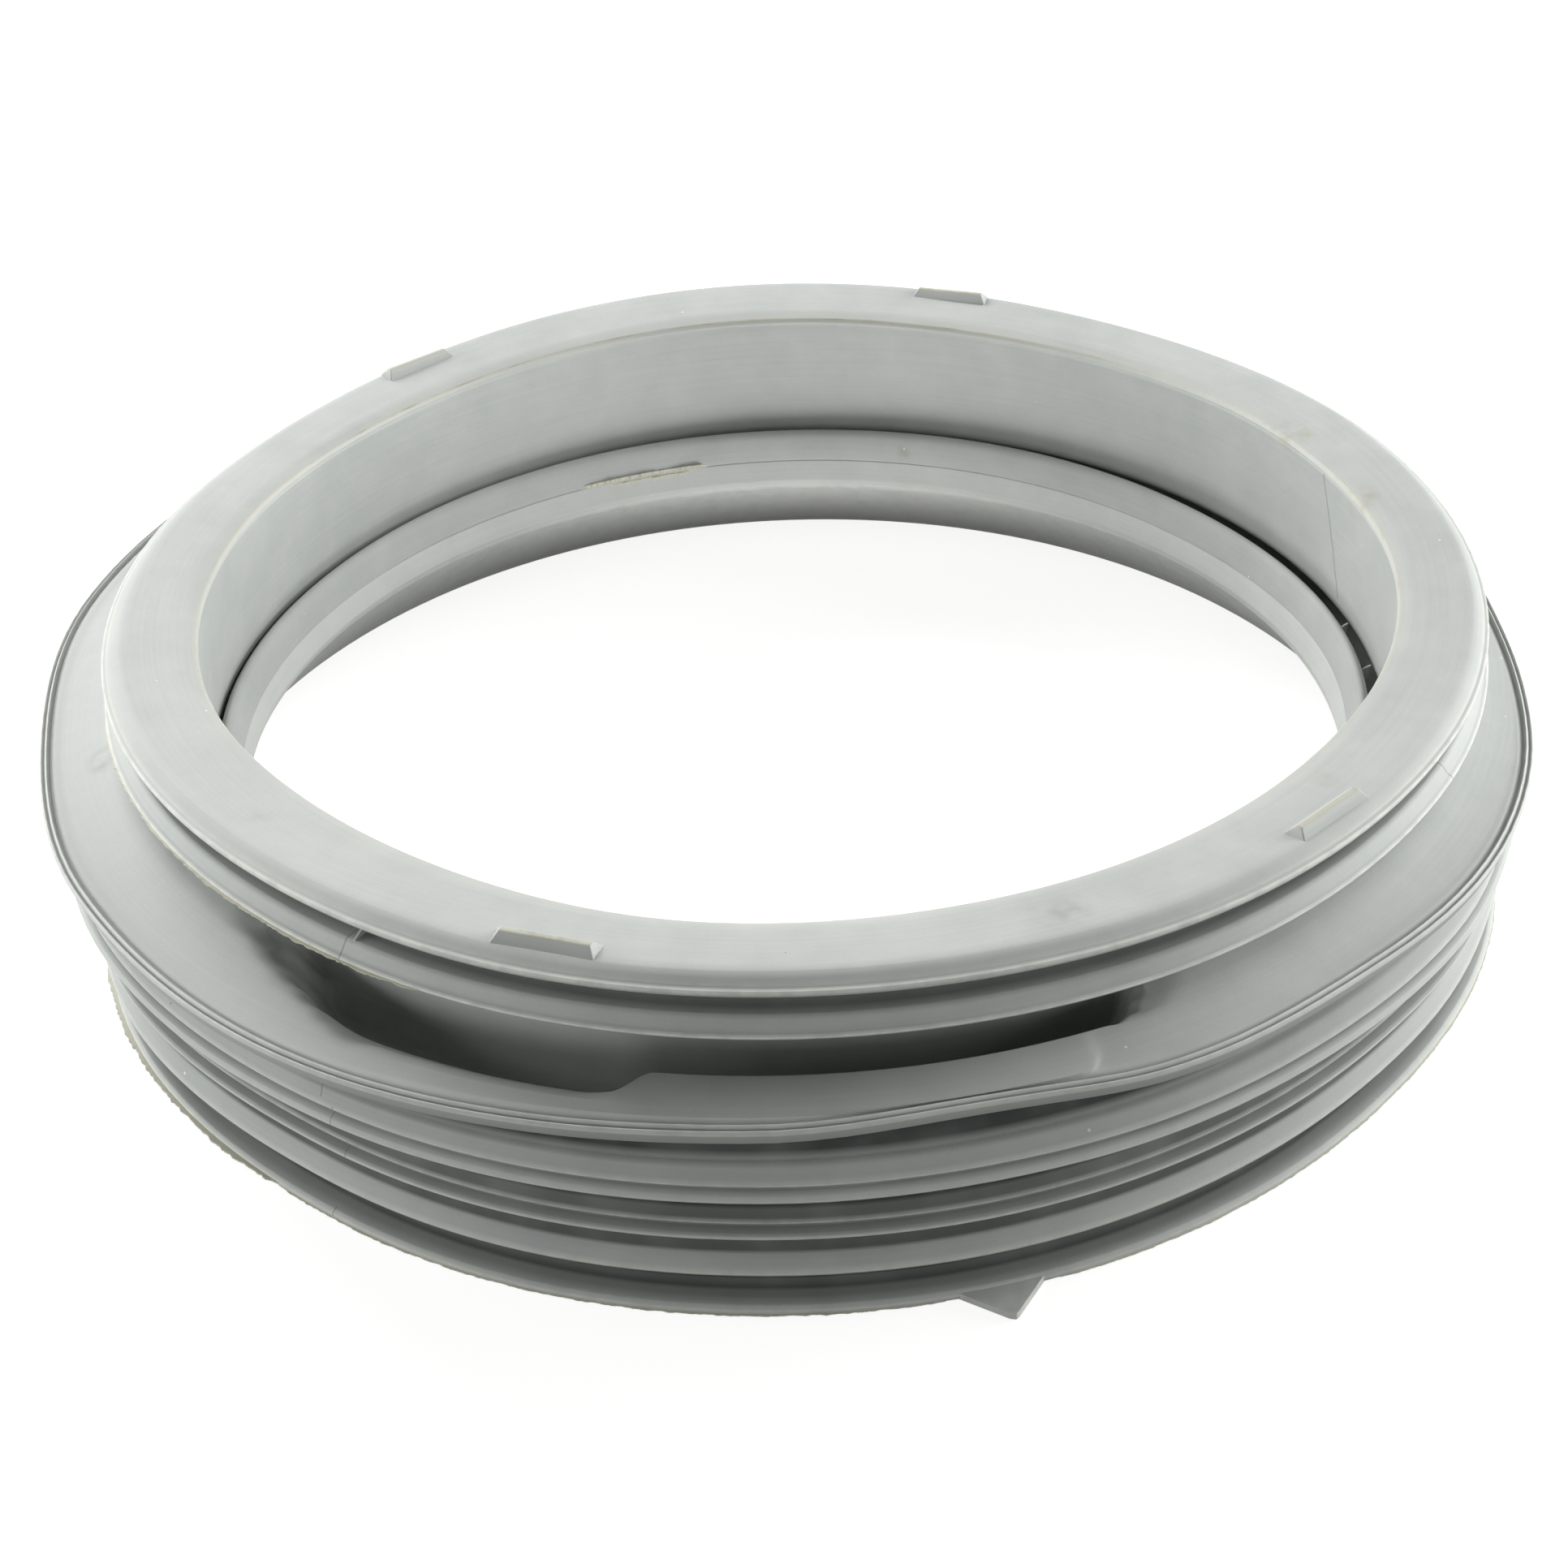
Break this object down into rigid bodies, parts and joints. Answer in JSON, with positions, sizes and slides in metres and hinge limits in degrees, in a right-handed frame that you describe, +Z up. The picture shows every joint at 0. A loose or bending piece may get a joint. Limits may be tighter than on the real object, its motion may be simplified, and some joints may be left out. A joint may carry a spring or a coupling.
{
  "type": "washing machine door seal",
  "caption": "Round grey rubber door seal with a flat top flange, an outer edge groove, a ribbed folding wall, a clamp groove over a flat foot and an inner sealing lip",
  "frame": {"origin": "centre of the part's box, on the underside of the foot", "axes": "+Z up along the ring's axis, from the clamped foot to the flange on the door side; -Y towards the pocket in the shoulder; +X to the right seen from the pocket"},
  "size_m": [0.3782, 0.3777, 0.0845],
  "materials": {
    "grey_rubber": "matt light grey moulded rubber, slightly bloomed"
  },
  "bodies": {
    "root": {"door_seal": "grey_rubber"}
  },
  "joints": []
}
